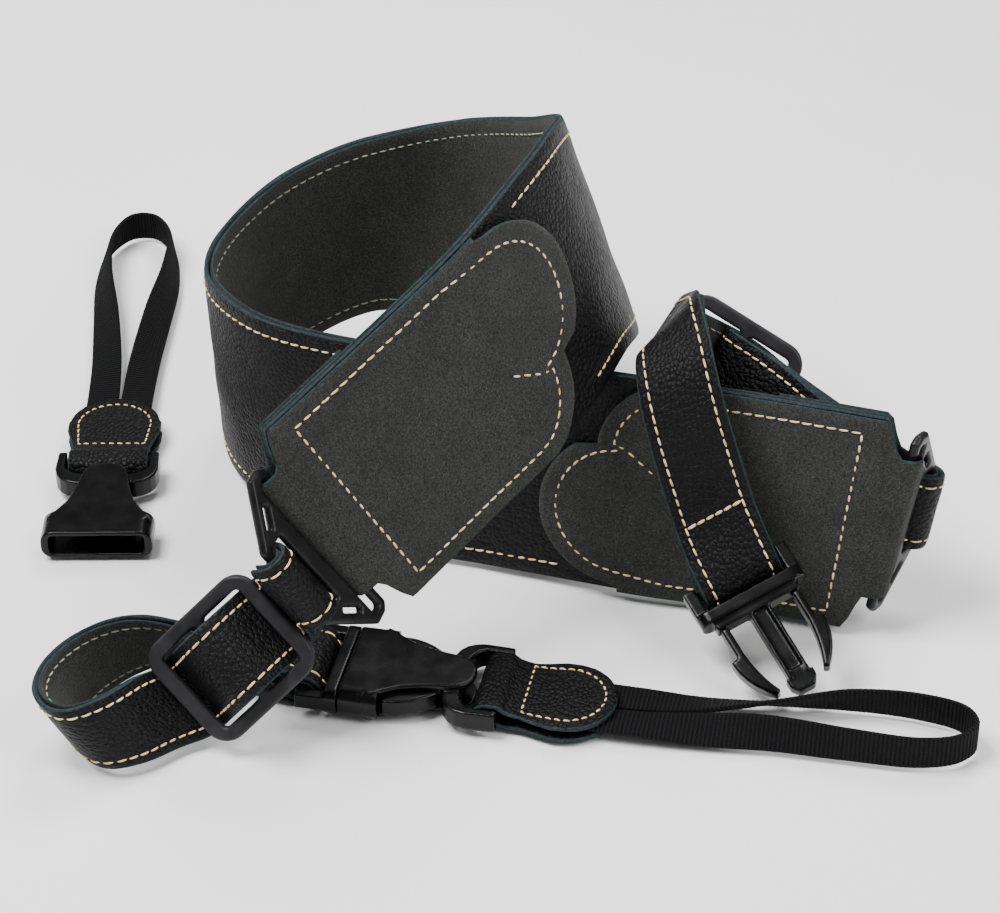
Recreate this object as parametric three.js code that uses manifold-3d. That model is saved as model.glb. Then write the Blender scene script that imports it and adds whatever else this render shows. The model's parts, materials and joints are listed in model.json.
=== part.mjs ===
// A leather carrying harness: a wide two-layer neck strap, a reducer ring at each end, two narrow
// adjustable straps with side-release buckles, and two webbing loops that clip into them.
// It lies on a floor as it was put down. Millimetres, +Z up.
import * as THREE from 'three';
import { mergeVertices } from 'three/addons/utils/BufferGeometryUtils.js';
import Module from 'manifold-3d';

const wasm = await Module();
wasm.setup();

// ---------------------------------------------------------------- driving dimensions
const GAP = 0.3; // air between pieces that touch
const BEND_STEP = 0.38; // radians of bend between two sections of a sheet
const LONG_STEP = 13; // longest stretch between two sections of a sheet

const NECK = { width: 70, leather: 2.0, lining: 1.6, patch: 1.6, inset: 5.5 };
const STRAP = { width: 25, leather: 1.8, lining: 1.4 };
const PATCH = {
  length: 110, back: 42, fold: 23.6, squareFrom: 8.5, foldFrom: 2.8, notch: -13, squareEnd: 18,
  lobe: { at: 85, aside: 8, long: 25, wide: 25 },
  lesser: { at: 68, aside: -12, long: 25, wide: 23.6 },
};
const RING = {
  half: 30.3, narrow: 13.2, shoulder: 5.6, depth: 17.4, thick: 3.0, side: 3.4, bevel: 0.8,
  web: [4.4, 10.2], rail: 3.2, slit: 1.6, slitSpan: [7.5, 14],
};
const GLIDE = { across: 36, along: 40.4, openAcross: 27, openAlong: 31, thick: 3.0, bar: 2.6, corner: 7 };
const BUCKLE = { half: 17.2, height: 9.8, tube: 11.5, flange: 10.2, bar: 2.4, barHalf: 13.3 };
const TAB = { thick: 2.0, end: 78.5, radius: 15, half: 12.7, barAt: 42.3 };
const WEB = { width: 10.4, thick: 1.5, lane: 5.6, from: 57, drop: 1.7 };
const THREAD = { width: 0.9, thick: 0.45 };

const BAR_WRAP = 2.05; // inner radius of leather round a bar
const STRAP_LOW = -(GAP / 2 + STRAP.lining);
const STRAP_HIGH = GAP / 2 + STRAP.leather;
const WRAP = BAR_WRAP - STRAP_LOW; // radius of a narrow strap's middle line round a bar
const NECK_LOW = -(GAP / 2 + NECK.lining);
const NECK_HIGH = GAP / 2 + NECK.leather;
const PATCH_FRONT = NECK_HIGH + 1.6 * GAP + NECK.patch / 2;
const PATCH_BACK = NECK_LOW - GAP - NECK.patch / 2;
const FOLD = { radius: (PATCH_FRONT - PATCH_BACK) / 2, height: (PATCH_FRONT + PATCH_BACK) / 2, inset: 4 };

// ---------------------------------------------------------------- routes, chosen by hand
// Each station is the middle of the strap, then the direction across it.
const NECK_ROUTE = [
  [-54.5, -100, 57.5, -40, -1, 57],
  [-24, -78, 78, -37, -1, 60],
  [4, -55, 96, -32, 2, 62],
  [23, -22, 105, -26, 6, 64],
  [28.5, 15, 92, -22, 6, 66],
  [17, 52, 71, -16, 13, 67],
  [-9, 77.5, 56, -5, 11, 68],
  [-44, 85, 49.5, 2, -9, 69.5],
  [-76, 66, 41, 2, -5, 69],
  [-88.5, 27, 37, -3, -4, 70],
  [-73, -2, 36.5, -2, -1, 70],
  [-38, -21, 36, 2, 5, 70],
  [2, -31, 36, 3, 10, 69],
  [41, -42, 36, 2, 13, 69],
  [80, -52, 36, 4, 10, 69],
  [119, -64, 36, 13, 6, 68],
];

// The narrow straps, from the slide to the buckle's bar.
const LOOP_A = [
  [-96.5, -118.5, 11.8, 0.50, -0.22, -0.84],
  [-105.5, -128, 13.3, 0.47, -0.08, -0.88],
  [-115.5, -132, 13.6, 0.47, 0.05, -0.88],
  [-123.2, -125.5, 13.8, 0.45, 0.10, -0.89],
  [-124, -113, 13.9, 0.38, 0.12, -0.92],
  [-117, -99, 13.8, 0.25, 0.15, -0.95],
  [-106, -90, 13.5, 0.10, 0.25, -0.96],
  [-91.5, -86.5, 12.4, 0.10, 0.52, -0.85],
  [-77, -86, 11.4, 0.15, 0.80, -0.58],
  [-65, -87.6, 9.4, 0.19, 0.96, -0.22],
];
const LOOP_B = [
  [51.5, -21.5, 78.5, 0.55, 0.34, 0.76],
  [50.5, -31, 85, 0.68, 0.42, 0.60],
  [49.5, -39, 86.5, 0.78, 0.43, 0.45],
  [50, -47, 84, 0.84, 0.30, 0.45],
  [51.5, -53.5, 77.5, 0.86, 0.20, 0.47],
  [54.5, -58, 66.5, 0.87, 0.14, 0.48],
  [58.5, -61, 53.5, 0.87, 0.12, 0.48],
  [62.8, -64.5, 40.5, 0.87, 0.14, 0.47],
];

// Frames of the hard parts: a middle, then two directions.
const GLIDE_A = { at: [-75.5, -113.2, 26.8], across: [0.68, -0.42, -0.60], toRing: [0.70, 0.18, 0.69] };
const GLIDE_B = { at: [67, -16, 59], across: [0.52, 0.35, 0.78], toRing: [0.83, -0.38, -0.41] };
const RING_A_OUT = [-0.42, -0.86, -0.16];
const RING_A_SLIP = -2.8; // how far the ring has slid along its bar
const RING_B_OUT = [0.5, 0.8, -0.33];
const MALE_A = { at: [-53.7, -89.5, 5.2], ahead: [0.979, -0.202, 0], bar: [0.202, 0.979, 0] };
const MALE_B = { at: [69.6, -71, 23.6], ahead: [0.475, -0.785, -0.42], bar: [0.88, 0.36, 0.31] };
const STRAP_B_DOWN = [0.28, -0.38, -0.88];
const FEMALE_B = { at: [-124, -31, 5.2], ahead: [-0.012, 1, 0], bar: [-1, -0.012, 0] };

// ---------------------------------------------------------------- vectors
const vec = (p) => new THREE.Vector3(p[0], p[1], p[2]);
const unit = (p) => vec(p).normalize();
const plus = (base, ...terms) => {
  const sum = base.clone();
  for (const [direction, amount] of terms) sum.addScaledVector(direction, amount);
  return sum;
};
const square = (v, axis) => plus(v, [axis, -v.dot(axis)]).normalize();
const station = (at, across) => [at.x, at.y, at.z, across.x, across.y, across.z];

// ---------------------------------------------------------------- a bent strap
class Route {
  constructor(stations) {
    const curve = (points) => new THREE.CatmullRomCurve3(points, false, 'centripetal');
    this.centre = curve(stations.map((s) => vec(s)));
    this.cross = curve(stations.map((s) => unit(s.slice(3))));
    this.count = 24 * (stations.length - 1);
    this.table = [0];
    let last = this.centre.getPoint(0);
    for (let k = 1; k <= this.count; k += 1) {
      const point = this.centre.getPoint(k / this.count);
      this.table.push(this.table[k - 1] + point.distanceTo(last));
      last = point;
    }
    this.length = this.table[this.count];
  }

  share(distance) {
    const d = Math.min(Math.max(distance, 0), this.length);
    let k = 1;
    while (k < this.count && this.table[k] < d) k += 1;
    const step = this.table[k] - this.table[k - 1];
    return (k - 1 + (d - this.table[k - 1]) / step) / this.count;
  }

  // middle, direction along, direction across and the outer face's direction
  frame(distance) {
    const t = this.share(distance);
    const along = this.centre.getTangent(t).normalize();
    const across = this.cross.getPoint(t).normalize();
    const out = along.clone().cross(across);
    across.divideScalar(Math.max(out.length(), 0.5));
    out.normalize();
    return { at: this.centre.getPoint(t), along, across, out };
  }

  point(distance, aside, height) {
    const f = this.frame(distance);
    return plus(f.at, [f.across, aside], [f.out, height]);
  }

  // the distance at which the route passes nearest a point
  nearest(target) {
    const away = (d) => this.centre.getPoint(this.share(d)).distanceTo(target);
    let best = 0;
    for (let d = 0; d <= this.length; d += 0.5) {
      if (away(d) < away(best)) best = d;
    }
    return best;
  }

  // distances that follow the bends closely and skip the straights
  rows(from, to, bend = BEND_STEP, long = LONG_STEP) {
    const list = [from];
    let last = this.frame(from);
    const fine = 0.7;
    for (let d = from + fine; d < to; d += fine) {
      const f = this.frame(d);
      const turned = Math.max(f.along.angleTo(last.along), f.out.angleTo(last.out));
      if (turned > bend || d - list[list.length - 1] > long) {
        list.push(d);
        last = f;
      }
    }
    if (list.length > 2 && to - list[list.length - 1] < 2 * fine) list.pop();
    list.push(to);
    return list;
  }
}

function closedGeometry(points, triangles) {
  const geometry = new THREE.BufferGeometry();
  const flat = points.flatMap((p) => [p.x, p.y, p.z]);
  geometry.setAttribute('position', new THREE.Float32BufferAttribute(flat, 3));
  geometry.setIndex(triangles);
  geometry.computeVertexNormals();
  return geometry;
}

// A closed sheet along a route. columns are shares of the half width, from -1 to 1, and
// startCut and endCut shorten the sheet column by column, easing out over `reach`.
function sheet(route, options) {
  const { low, high, half, from = 0, to = route.length, columns = [-1, 1] } = options;
  const { startCut = () => 0, endCut = () => 0, bend = BEND_STEP, long = LONG_STEP, reach = 30 } = options;
  const rows = route.rows(from, to, bend, long);
  const last = rows.length - 1;
  const across = columns.length;
  const points = [];
  for (const height of [low, high]) {
    for (const row of rows) {
      const atStart = Math.max(1 - (row - from) / reach, 0);
      const atEnd = Math.max(1 - (to - row) / reach, 0);
      for (const column of columns) {
        const distance = row + startCut(column) * atStart - endCut(column) * atEnd;
        points.push(route.point(distance, column * half(distance), height));
      }
    }
  }
  const index = (layer, i, j) => (layer * rows.length + i) * across + j;
  const triangles = [];
  const quad = (a, b, c, d) => triangles.push(a, b, c, a, c, d);
  for (let i = 0; i < last; i += 1) {
    for (let j = 0; j < across - 1; j += 1) {
      quad(index(1, i, j), index(1, i + 1, j), index(1, i + 1, j + 1), index(1, i, j + 1));
      quad(index(0, i, j), index(0, i, j + 1), index(0, i + 1, j + 1), index(0, i + 1, j));
    }
    const k = across - 1;
    quad(index(0, i, k), index(1, i, k), index(1, i + 1, k), index(0, i + 1, k));
    quad(index(0, i, 0), index(0, i + 1, 0), index(1, i + 1, 0), index(1, i, 0));
  }
  for (let j = 0; j < across - 1; j += 1) {
    quad(index(0, last, j), index(0, last, j + 1), index(1, last, j + 1), index(1, last, j));
    quad(index(0, 0, j), index(1, 0, j), index(1, 0, j + 1), index(0, 0, j + 1));
  }
  return closedGeometry(points, triangles);
}

// A thread laid along an outline on a sheet's face. Each outline point is [distance, aside].
function seam(route, outline, height, closed = false) {
  const count = outline.length;
  const side = Math.sign(height);
  const low = height + side * 1.7 * GAP;
  const high = low + side * THREAD.thick;
  const points = [];
  for (let k = 0; k < count; k += 1) {
    const before = outline[closed ? (k + count - 1) % count : Math.max(k - 1, 0)];
    const after = outline[closed ? (k + 1) % count : Math.min(k + 1, count - 1)];
    const run = new THREE.Vector2(after[0] - before[0], after[1] - before[1]).normalize();
    const [d, a] = outline[k];
    const reach = THREAD.width / 2;
    const corner = (sign, h) => route.point(d - sign * run.y * reach, a + sign * run.x * reach, h);
    points.push(corner(-1, low), corner(1, low), corner(1, high), corner(-1, high));
  }
  const triangles = [];
  const quad = (a, b, c, d) => {
    if (side > 0) triangles.push(a, b, c, a, c, d);
    else triangles.push(a, c, b, a, d, c);
  };
  const pieces = closed ? count : count - 1;
  for (let k = 0; k < pieces; k += 1) {
    const p = 4 * k;
    const q = 4 * ((k + 1) % count);
    for (let c = 0; c < 4; c += 1) quad(p + c, p + ((c + 1) % 4), q + ((c + 1) % 4), q + c);
  }
  if (!closed) {
    const e = 4 * (count - 1);
    quad(0, 3, 2, 1);
    quad(e, e + 1, e + 2, e + 3);
  }
  return closedGeometry(points, triangles);
}

// ---------------------------------------------------------------- moulded parts
function solid(geometry) {
  const bare = geometry.clone();
  bare.deleteAttribute('normal');
  bare.deleteAttribute('uv');
  const merged = mergeVertices(bare, 1e-4);
  return new wasm.Manifold(new wasm.Mesh({
    numProp: 3,
    vertProperties: new Float32Array(merged.attributes.position.array),
    triVerts: new Uint32Array(merged.index.array),
  }));
}

function geometryOf(body) {
  const mesh = body.getMesh();
  const geometry = new THREE.BufferGeometry();
  geometry.setAttribute('position', new THREE.Float32BufferAttribute(Array.from(mesh.vertProperties), 3));
  geometry.setIndex(Array.from(mesh.triVerts));
  geometry.computeVertexNormals();
  return geometry;
}

const joined = (...geometries) => geometryOf(geometries.map(solid).reduce((a, b) => a.add(b)));

function roundedBox(outline, x0, y0, x1, y1, r) {
  outline.moveTo(x0 + r, y0);
  outline.lineTo(x1 - r, y0);
  outline.absarc(x1 - r, y0 + r, r, -Math.PI / 2, 0);
  outline.lineTo(x1, y1 - r);
  outline.absarc(x1 - r, y1 - r, r, 0, Math.PI / 2);
  outline.lineTo(x0 + r, y1);
  outline.absarc(x0 + r, y1 - r, r, Math.PI / 2, Math.PI);
  outline.lineTo(x0, y0 + r);
  outline.absarc(x0 + r, y0 + r, r, Math.PI, Math.PI * 1.5);
  return outline;
}

function polygon(outline, corners) {
  corners.forEach(([x, y], k) => (k === 0 ? outline.moveTo(x, y) : outline.lineTo(x, y)));
  return outline;
}

// A flat plate of the given outline between two heights, with softened edges.
function plate(shape, low, high, bevel = 0, curveSegments = 4) {
  const geometry = new THREE.ExtrudeGeometry(shape, {
    depth: high - low - 2 * bevel,
    bevelEnabled: bevel > 0,
    bevelSize: bevel,
    bevelOffset: -bevel,
    bevelThickness: bevel,
    bevelSegments: 1,
    curveSegments,
    steps: 1,
  });
  return geometry.translate(0, 0, low + bevel);
}

const box = (x0, x1, y0, y1, z0, z1) => new THREE.BoxGeometry(x1 - x0, y1 - y0, z1 - z0)
  .translate((x0 + x1) / 2, (y0 + y1) / 2, (z0 + z1) / 2);

// the plate's own plane turned up on edge: its x to y, its y to z and its height to x
const onEdge = (geometry) => geometry.applyMatrix4(new THREE.Matrix4().makeBasis(
  new THREE.Vector3(0, 1, 0), new THREE.Vector3(0, 0, 1), new THREE.Vector3(1, 0, 0)));

// The reducer ring: bar of the wide strap at the origin, +Y towards the narrow strap's bar.
function ringGeometry() {
  const edge = RING.thick / 2;
  const far = RING.depth + edge;
  const corner = 1.5;
  const end = RING.half - 2;
  const outer = RING.narrow + RING.side;
  const [webFrom, webTo] = RING.web;
  const shape = polygon(new THREE.Shape(), [
    [-end, -edge], [end, -edge], [RING.half, 1], [RING.half, RING.shoulder],
    [outer, far - corner], [outer - corner, far], [corner - outer, far], [-outer, far - corner],
    [-RING.half, RING.shoulder], [-RING.half, 1],
  ]);
  const slot = (half, from, to) => roundedBox(new THREE.Path(), -half, from, half, to, 0.8);
  shape.holes.push(slot(end - edge, edge, webFrom));
  shape.holes.push(slot(RING.narrow, webTo, RING.depth - edge));
  // a slit along each slanting side, set in by the rail's width
  const slant = new THREE.Vector2(outer - RING.half, far - corner - RING.shoulder).normalize();
  const [from, to] = RING.slitSpan;
  const [near, wide] = [RING.rail, RING.rail + RING.slit];
  for (const side of [-1, 1]) {
    const inside = (along, inward) => [
      side * (RING.half + slant.x * along - slant.y * inward),
      RING.shoulder + slant.y * along + slant.x * inward,
    ];
    const slit = [inside(from, near), inside(to, near), inside(to, wide), inside(from, wide)];
    shape.holes.push(polygon(new THREE.Path(), slit));
  }
  return plate(shape, -edge, edge, RING.bevel, 3);
}

// The slide: its middle bar at the origin, X along the bar.
function glideGeometry() {
  const x = GLIDE.across / 2;
  const y = GLIDE.along / 2;
  const open = GLIDE.openAcross / 2;
  const shape = roundedBox(new THREE.Shape(), -x, -y, x, y, GLIDE.corner);
  for (const side of [-1, 1]) {
    const near = side * GLIDE.bar / 2;
    const far = side * GLIDE.openAlong / 2;
    const [low, high] = [Math.min(near, far), Math.max(near, far)];
    shape.holes.push(roundedBox(new THREE.Path(), -open, low, open, high, 1.4));
  }
  return plate(shape, -GLIDE.thick / 2, GLIDE.thick / 2, 0.6, 4);
}

// The male half's fixed body: bar at the origin, +X into the socket, Y along the bar.
function maleGeometry() {
  const w = BUCKLE.half;
  const b = BUCKLE.bar / 2;
  const flange = BUCKLE.flange;
  const rail = (side) => {
    const [inner, outer] = [side * BUCKLE.barHalf, side * w];
    return box(-2.2, flange - 3.4, Math.min(inner, outer), Math.max(inner, outer), -2.4, 2.4);
  };
  const collar = roundedBox(new THREE.Shape(), -w, -4.3, w, 4.3, 3.2);
  const tip = polygon(new THREE.Shape(), [
    [33.6, -3.4], [36.2, -3.4], [35.4, -4.4], [38.2, -4.3], [40.6, -2.6],
    [40.6, 2.6], [38.2, 4.3], [35.4, 4.4], [36.2, 3.4], [33.6, 3.4],
  ]);
  return joined(
    rail(1),
    rail(-1),
    box(-b, b, -BUCKLE.barHalf - 0.5, BUCKLE.barHalf + 0.5, -b, b),
    onEdge(plate(collar, flange - 3.9, flange, 0, 4)),
    box(flange - 0.5, 12.8, -13.8, 13.8, -2.9, 2.9),
    box(12.5, 36, -3.4, 3.4, -1.4, 1.4),
    box(12.5, 36, 2.2, 3.4, -2.7, 2.7),
    box(12.5, 36, -3.4, -2.2, -2.7, 2.7),
    plate(tip, -2.4, 2.4),
  );
}

// One springing arm with its paddle, for the +Y side when side is 1.
const ARM = { root: 13.1, inner: 10.7, outer: 13.1, shoulder: 22.8, widest: 15.4, end: 38.2 };
function armGeometry(side) {
  const shape = new THREE.Shape();
  shape.moveTo(ARM.root, ARM.inner);
  shape.lineTo(ARM.shoulder, ARM.inner);
  shape.quadraticCurveTo(ARM.end - 7, ARM.inner - 0.6, ARM.end - 0.8, 7.1);
  shape.lineTo(ARM.end, 8.6);
  shape.quadraticCurveTo(ARM.end - 6.5, ARM.widest, ARM.shoulder + 0.6, ARM.widest);
  shape.lineTo(ARM.shoulder, ARM.outer);
  shape.lineTo(ARM.root, ARM.outer);
  const geometry = plate(shape, -2.8, 2.8, 0.4, 5);
  return side > 0 ? geometry : geometry.rotateX(Math.PI);
}

// The female half: mouth at the origin, +X towards the tab, Y along the mouth.
function femaleGeometry() {
  const w = BUCKLE.half;
  const h = BUCKLE.height / 2;
  const inside = 3.35;
  const mouth = roundedBox(new THREE.Shape(), -w, -h, w, h, 4.0);
  mouth.holes.push(roundedBox(new THREE.Path(), -14.7, -inside, 14.7, inside, 1.6));
  const cover = new THREE.Shape();
  cover.moveTo(8, -16);
  cover.quadraticCurveTo(13, -13, 17, -10.6);
  cover.quadraticCurveTo(24, -8.2, 31, -7.4);
  cover.quadraticCurveTo(37.6, -6.6, 37.6, 0);
  cover.quadraticCurveTo(37.6, 6.6, 31, 7.4);
  cover.quadraticCurveTo(24, 8.2, 17, 10.6);
  cover.quadraticCurveTo(13, 13, 8, 16);
  const railFor = (side) => {
    const rail = new THREE.Shape();
    rail.moveTo(32, side * 4);
    rail.quadraticCurveTo(28.6, side * 6, 29.2, side * 9.5);
    rail.quadraticCurveTo(30.5, side * 15.6, 37, side * 16.3);
    rail.lineTo(45.8, side * 16);
    rail.lineTo(46.2, side * 13.3);
    rail.lineTo(38, side * 13.3);
    rail.quadraticCurveTo(34, side * 12, 33.4, side * 4);
    return plate(rail, -3.1, 3.1, 0, 4);
  };
  const b = BUCKLE.bar / 2;
  return joined(
    onEdge(plate(mouth, 0, BUCKLE.tube, 0, 4)),
    plate(cover, inside, h, 0, 4),
    plate(cover, -h, -inside, 0, 4),
    box(30.8, 33.0, -6.2, 6.2, -3.6, 3.6),
    railFor(1),
    railFor(-1),
    box(TAB.barAt - b, TAB.barAt + b, -BUCKLE.barHalf - 0.6, BUCKLE.barHalf + 0.6, -b, b),
  );
}

// ---------------------------------------------------------------- materials
function material(color, roughness, metalness = 0) {
  return new THREE.MeshStandardMaterial({ color, roughness, metalness });
}
const MATERIALS = {
  leather: material(0x17161a, 0.5),
  suede: material(0x3b3c3b, 0.95),
  plastic: material(0x101012, 0.32),
  coated: material(0x38363a, 0.45, 0.2),
  webbing: material(0x141316, 0.8),
  thread: material(0xe0cfa0, 0.85),
};

const harness = new THREE.Group();
const laid = new THREE.Group();
harness.add(laid);

function add(name, geometry, kind, parent = laid) {
  const mesh = new THREE.Mesh(geometry, MATERIALS[kind].clone());
  mesh.name = name;
  parent.add(mesh);
  return mesh;
}

// A group whose X and Y axes point the given ways, for parts drawn in a frame of their own.
function place(at, xWay, yWay) {
  const x = xWay.clone().normalize();
  const y = square(yWay, x);
  const group = new THREE.Group();
  group.quaternion.setFromRotationMatrix(new THREE.Matrix4().makeBasis(x, y, x.clone().cross(y)));
  group.position.copy(at);
  laid.add(group);
  return group;
}

// ---------------------------------------------------------------- the neck strap
const neck = new Route(NECK_ROUTE);
const neckEnds = {
  a: (d) => {
    const f = neck.frame(d);
    return { at: f.at, across: f.across, out: f.out, away: f.along.clone().negate() };
  },
  b: (d) => {
    const f = neck.frame(neck.length - d);
    return { at: f.at, across: f.across, out: f.out, away: f.along };
  },
};
// half the width at a distance from the fold: the corners are cut off beside the ring
const trimmed = (fromFold, narrow) => {
  const share = (fromFold - PATCH.foldFrom) / (PATCH.squareFrom - PATCH.foldFrom);
  return narrow + (NECK.width / 2 - narrow) * Math.min(Math.max(share, 0), 1);
};
const neckHalf = (d) => trimmed(Math.min(d, neck.length - d) - FOLD.inset, PATCH.fold - 1);
const neckCut = FOLD.inset + BAR_WRAP + 2.2;
const neckRow = 1 - 2 * NECK.inset / NECK.width;
const neckSpan = { from: neckCut, to: neck.length - neckCut, half: neckHalf, bend: 0.2, long: 8 };
const neckHide = { ...neckSpan, low: GAP / 2, high: NECK_HIGH, columns: [-1, -neckRow, neckRow, 1] };
add('neck_leather', sheet(neck, neckHide), 'leather');
add('neck_lining', sheet(neck, { ...neckSpan, low: NECK_LOW, high: -GAP / 2 }), 'suede');
const seamStart = PATCH.length - 6;
const seamRows = neck.rows(neckSpan.from, neckSpan.to, neckSpan.bend, neckSpan.long)
  .filter((d) => d > seamStart && d < neck.length - seamStart);
for (const [name, side] of [['neck_thread_upper', 1], ['neck_thread_lower', -1]]) {
  const aside = side * (NECK.width / 2 - NECK.inset);
  add(name, seam(neck, seamRows.map((d) => [d, aside]), NECK_HIGH), 'thread');
}

// ---------------------------------------------------------------- end patches and rings
const patchColumns = [-1, -0.94, -0.78, -0.55, -0.38, -0.2, 0.23, 0.6, 0.83, 0.95, 1];
// how far from the neck strap's end a lobe reaches at a distance aside of the middle
const lobeReach = (aside, inset) => {
  const lobe = aside > PATCH.notch ? PATCH.lobe : PATCH.lesser;
  const share = (aside - lobe.aside) / (lobe.wide - inset);
  return lobe.at + (lobe.long - inset) * Math.sqrt(Math.max(1 - share * share, 0));
};
const patchSeam = () => {
  const edge = NECK.width / 2 - NECK.inset;
  const sides = [0, 1, 2, 3, 4, 5, 6].map((k) => PATCH.squareEnd + k * 9);
  const round = [-29.2, -27, -22, -16, -12.5, -11.2, -8, -2, 5, 13, 20, 25, 27.4];
  return [
    ...sides.slice(0, -1).map((d) => [d, -edge]),
    ...round.map((aside) => [lobeReach(aside, NECK.inset), aside]),
    ...sides.reverse().map((d) => [d, edge]),
    [PATCH.squareEnd, 0],
  ];
};

// Half a turn round a bar: straight in along `ahead` on the outer side, and straight out again.
function halfTurn(at, ahead, out, across, radius, lead = 3.6) {
  const leads = [-lead, -0.5];
  const list = leads.map((along) => [along, radius]);
  for (let k = 0; k <= 6; k += 1) {
    const turn = Math.PI * k / 6;
    list.push([radius * Math.sin(turn), radius * Math.cos(turn)]);
  }
  list.push(...leads.reverse().map((along) => [along, -radius]));
  return list.map(([along, up]) => station(plus(at, [ahead, along], [out, up]), across));
}

// out along the front of the strap's end, round the ring's bar and back along the rear
function patchStations(end) {
  const list = [];
  const front = [PATCH.length, 100, 90, 80, 70, 60, 50, 40, 30, 20, FOLD.inset + 5];
  for (const d of front) {
    const f = end(d);
    list.push(station(plus(f.at, [f.out, PATCH_FRONT]), f.across));
  }
  const f = end(FOLD.inset);
  list.push(...halfTurn(plus(f.at, [f.out, FOLD.height]), f.away, f.out, f.across, FOLD.radius));
  for (const d of [FOLD.inset + 5, 24, PATCH.back]) {
    const g = end(d);
    list.push(station(plus(g.at, [g.out, PATCH_BACK]), g.across));
  }
  return list;
}

const rings = {};
const RING_PLACES = [
  { name: 'a', end: neckEnds.a, outWay: RING_A_OUT, slip: RING_A_SLIP, side: 1 },
  { name: 'b', end: neckEnds.b, outWay: RING_B_OUT, slip: 0, side: -1 },
];
const quarterFold = FOLD.radius * Math.PI / 2;
for (const { name, end, outWay, slip, side } of RING_PLACES) {
  // the same patch at both ends, turned half round: side tells which way up it lies
  const route = new Route(patchStations(end));
  const fold = end(FOLD.inset);
  const foldAt = route.nearest(plus(fold.at, [fold.out, FOLD.height], [fold.away, FOLD.radius]));
  const patchHalf = (d) => trimmed(Math.abs(d - foldAt) - quarterFold, PATCH.fold);
  const half = NECK.patch / 2;
  add(`end_patch_${name}`, sheet(route, {
    low: -half,
    high: half,
    half: patchHalf,
    columns: patchColumns.map((column) => side * column).sort((a, b) => a - b),
    startCut: (column) => PATCH.length - lobeReach(side * column * NECK.width / 2, 0),
    bend: 0.25,
    long: 8,
    reach: 60,
  }), 'suede');
  const outline = patchSeam().map(([d, aside]) => [foldAt + FOLD.inset - quarterFold - d, side * aside]);
  if (side < 0) outline.reverse();
  add(`patch_thread_${name}`, seam(route, outline, -side * half, true), 'thread');

  const down = fold.across.clone().normalize();
  const at = plus(fold.at, [fold.out, FOLD.height], [down, slip]);
  const out = square(vec(outWay), down);
  add(`ring_${name}`, ringGeometry(), 'coated', place(at, down, out));
  rings[name] = { bar: plus(at, [out, RING.depth]), across: down };
}

// ---------------------------------------------------------------- the narrow straps
function roundBar(at, heading, across, lead) {
  const ahead = square(heading, across);
  return halfTurn(at, ahead, ahead.clone().cross(across), across, WRAP, lead);
}

// Distances toward the ring, then outward, from the slide's bar.
const rearLeg = [[6, -5.1], [10, -6.8], [15, -8.1], [22, -8.4]];
const frontLeg = [[22.5, -4.6], [15.4, -4.2], [12.4, -2.9], [9.2, 1.8], [5.9, 6.2], [3, 8.5], [0, 9.1]];

function strapStations(slide, ring, free, bar, heading, barAcross, tail) {
  const across = unit(slide.across);
  const toRing = square(vec(slide.toRing), across);
  const out = across.clone().cross(toRing);
  const middle = vec(slide.at);
  const onSlide = ([along, up]) => station(plus(middle, [toRing, along], [out, up]), across);
  const mirrored = frontLeg.slice(0, -1).reverse().map(([along, up]) => [-along, up]);
  const ringAcross = ring.across.clone().multiplyScalar(Math.sign(ring.across.dot(across)));
  const legs = plus(middle, [toRing, 22], [out, -5]);
  const ringHeading = plus(ring.bar, [legs, -1]).normalize();
  return [
    ...roundBar(middle, toRing.clone().negate(), across, 2.8),
    ...rearLeg.map(onSlide),
    ...roundBar(ring.bar, ringHeading, ringAcross),
    ...frontLeg.map(onSlide),
    ...mirrored.map(onSlide),
    ...free,
    ...roundBar(vec(bar), vec(heading), unit(barAcross)),
    ...tail,
  ];
}

const TAIL_A = [
  [-61, -88, 2.05, 0.202, 0.979, 0],
  [-69, -86.4, 2.3, 0.20, 0.98, -0.04],
];
const TAIL_B = [
  [65.6, -64.6, 32, 0.87, 0.22, 0.44],
  [62.4, -61.2, 40.8, 0.87, 0.14, 0.47],
  [58.7, -57.8, 52.8, 0.87, 0.12, 0.48],
];
const straps = {
  a: strapStations(GLIDE_A, rings.a, LOOP_A, MALE_A.at, MALE_A.ahead, MALE_A.bar, TAIL_A),
  b: strapStations(GLIDE_B, rings.b, LOOP_B, MALE_B.at, STRAP_B_DOWN, MALE_B.bar, TAIL_B),
};
for (const [name, stations] of Object.entries(straps)) {
  const route = new Route(stations);
  const half = () => STRAP.width / 2;
  add(`strap_${name}_leather`, sheet(route, { low: GAP / 2, high: STRAP_HIGH, half }), 'leather');
  add(`strap_${name}_lining`, sheet(route, { low: STRAP_LOW, high: -GAP / 2, half }), 'suede');
}

// ---------------------------------------------------------------- slides and male buckle halves
for (const [name, slide] of [['a', GLIDE_A], ['b', GLIDE_B]]) {
  const group = place(vec(slide.at), vec(slide.across), vec(slide.toRing));
  add(`slide_${name}`, glideGeometry(), 'coated', group);
}
for (const [name, male] of [['a', MALE_A], ['b', MALE_B]]) {
  const group = place(vec(male.at), vec(male.ahead), vec(male.bar));
  add(`male_buckle_${name}`, maleGeometry(), 'plastic', group);
  add(`latch_arm_${name}_left`, armGeometry(1), 'plastic', group);
  add(`latch_arm_${name}_right`, armGeometry(-1), 'plastic', group);
}

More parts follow.
